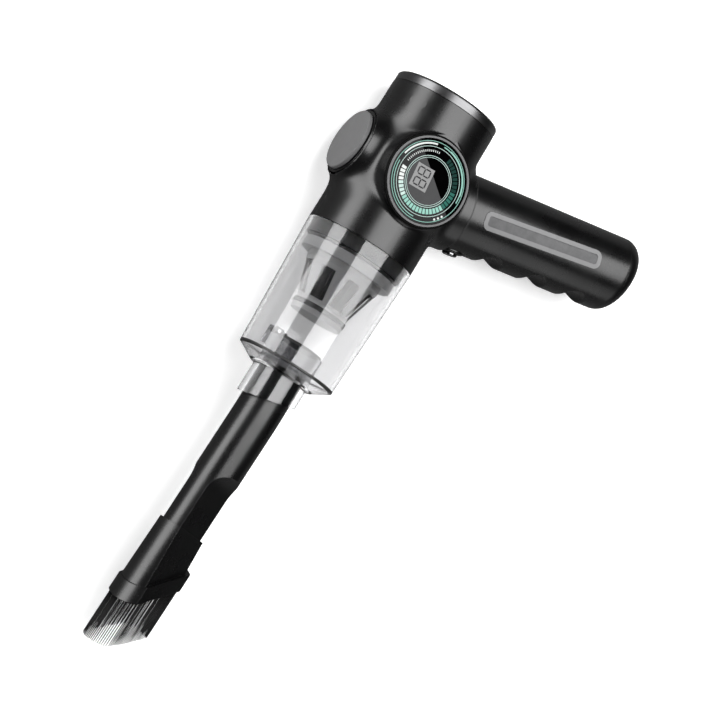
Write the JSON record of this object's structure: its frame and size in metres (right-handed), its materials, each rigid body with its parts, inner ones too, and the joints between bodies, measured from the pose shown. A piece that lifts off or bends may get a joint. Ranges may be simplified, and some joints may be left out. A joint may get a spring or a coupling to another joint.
{
  "type": "handheld vacuum",
  "caption": "Cordless gun-shaped handheld vacuum with a clear dust cup, crevice nozzle, pull-off brush head, round display and ribbed side handle.",
  "frame": {"origin": "bottom centre of the bounding box, with the vacuum lying on its far side", "axes": "+X along the barrel from the exhaust end to the brush tips, +Y across the barrel to the handle end, +Z out through the round display"},
  "size_m": [0.3444, 0.1826, 0.0666],
  "materials": {
    "shell_black": "satin moulded black plastic",
    "band_silver": "satin silver",
    "grille_black": "fine matt black",
    "foam_grey": "open cell foam",
    "cap_grey": "flat mid grey",
    "bezel_silver": "fine silver plating",
    "seal_rubber": "smooth black rubber",
    "display_glass": "glossy black window with lit graphics",
    "board_green": "solder-masked board",
    "frame_grey": "satin light grey",
    "pad_grey": "finely textured mid grey",
    "port_metal": "plated steel",
    "cell_wrap": "shrink sleeve",
    "cradle_white": "natural plastic",
    "lead_red": "silicone sleeve",
    "button_chrome": "bright plating",
    "switch_black": "moulded",
    "motor_steel": "plated steel",
    "fan_white": "moulded",
    "filter_smoke": "smoky clear",
    "pleat_white": "pleated paper",
    "cup_clear": "clear plastic, faint smoke tint",
    "inlet_smoke": "smoky clear",
    "flap_rubber": "thin rubber",
    "nozzle_black": "satin moulded black plastic",
    "bristle_grey": "translucent dark nylon"
  },
  "bodies": {
    "housing": {"housing_display_side": "shell_black", "housing_far_side": "shell_black", "rear_band": "band_silver", "exhaust_grille": "grille_black", "exhaust_filter": "foam_grey", "side_cap": "cap_grey", "display_bezel": "bezel_silver", "display_gasket": "seal_rubber", "display_window": "display_glass", "display_module": "board_green", "handle_shell_display_side": "shell_black", "handle_shell_far_side": "shell_black", "handle_end_cap": "shell_black", "handle_root_ring": "grille_black", "grip_frame_display_side": "frame_grey", "grip_pad_display_side": "pad_grey", "grip_frame_far_side": "frame_grey", "grip_pad_far_side": "pad_grey", "charging_port": "port_metal", "battery_cell_near": "cell_wrap", "battery_cell_far": "cell_wrap", "battery_cradle": "cradle_white", "charge_board": "board_green", "switch_board": "board_green", "tact_switch": "switch_black", "motor_can": "motor_steel", "motor_stator": "motor_steel", "bearing_rear": "motor_steel", "bearing_front": "motor_steel", "fan_shroud": "grille_black", "motor_mount_front": "seal_rubber", "motor_mount_rear": "seal_rubber", "control_board": "board_green", "battery_leads": "lead_red", "front_neck": "grille_black", "motor_guard": "grille_black", "case_screws": "motor_steel"},
    "fan_rotor": {"motor_shaft": "motor_steel", "motor_rotor": "motor_steel", "impeller": "fan_white"},
    "button": {"power_button": "button_chrome"},
    "filter": {"filter_holder": "filter_smoke", "pleated_filter": "pleat_white", "filter_end_band": "seal_rubber", "filter_seal": "seal_rubber"},
    "cup": {"dust_cup": "cup_clear", "cup_rim_seal": "seal_rubber", "cup_base": "cup_clear", "inlet_collar": "cup_clear", "inlet_tube": "inlet_smoke", "flap_pin": "motor_steel"},
    "flap": {"inlet_flap": "flap_rubber"},
    "nozzle": {"crevice_nozzle": "nozzle_black"},
    "brush": {"brush_body": "nozzle_black", "bristles": "bristle_grey"}
  },
  "joints": [
    {"name": "fan_spin", "type": "hinge", "parent": "housing", "child": "fan_rotor", "pos_m": [-0.12381, -0.05296, 0.0314], "axis": [1, 0, 0], "continuous": true},
    {"name": "power_press", "type": "slide", "parent": "housing", "child": "button", "axis": [-0.9778, -0.2096, 0], "range_m": [0, 0.0012], "stiffness_N_per_m": 600},
    {"name": "filter_pull", "type": "slide", "parent": "housing", "child": "filter", "axis": [1, 0, 0], "range_m": [0, 0.012]},
    {"name": "cup_pull", "type": "slide", "parent": "housing", "child": "cup", "axis": [1, 0, 0], "range_m": [0, 0.12]},
    {"name": "flap_swing", "type": "hinge", "parent": "cup", "child": "flap", "pos_m": [-0.01741, -0.06916, 0.0314], "axis": [0, 0, 1], "range_deg": [0, 24], "stiffness_Nm_per_rad": 0.002},
    {"name": "nozzle_pull", "type": "slide", "parent": "cup", "child": "nozzle", "axis": [1, 0, 0], "range_m": [0, 0.06]},
    {"name": "brush_pull", "type": "slide", "parent": "nozzle", "child": "brush", "axis": [0.9996, -0.0271, -0.0122], "range_m": [0, 0.04]}
  ]
}
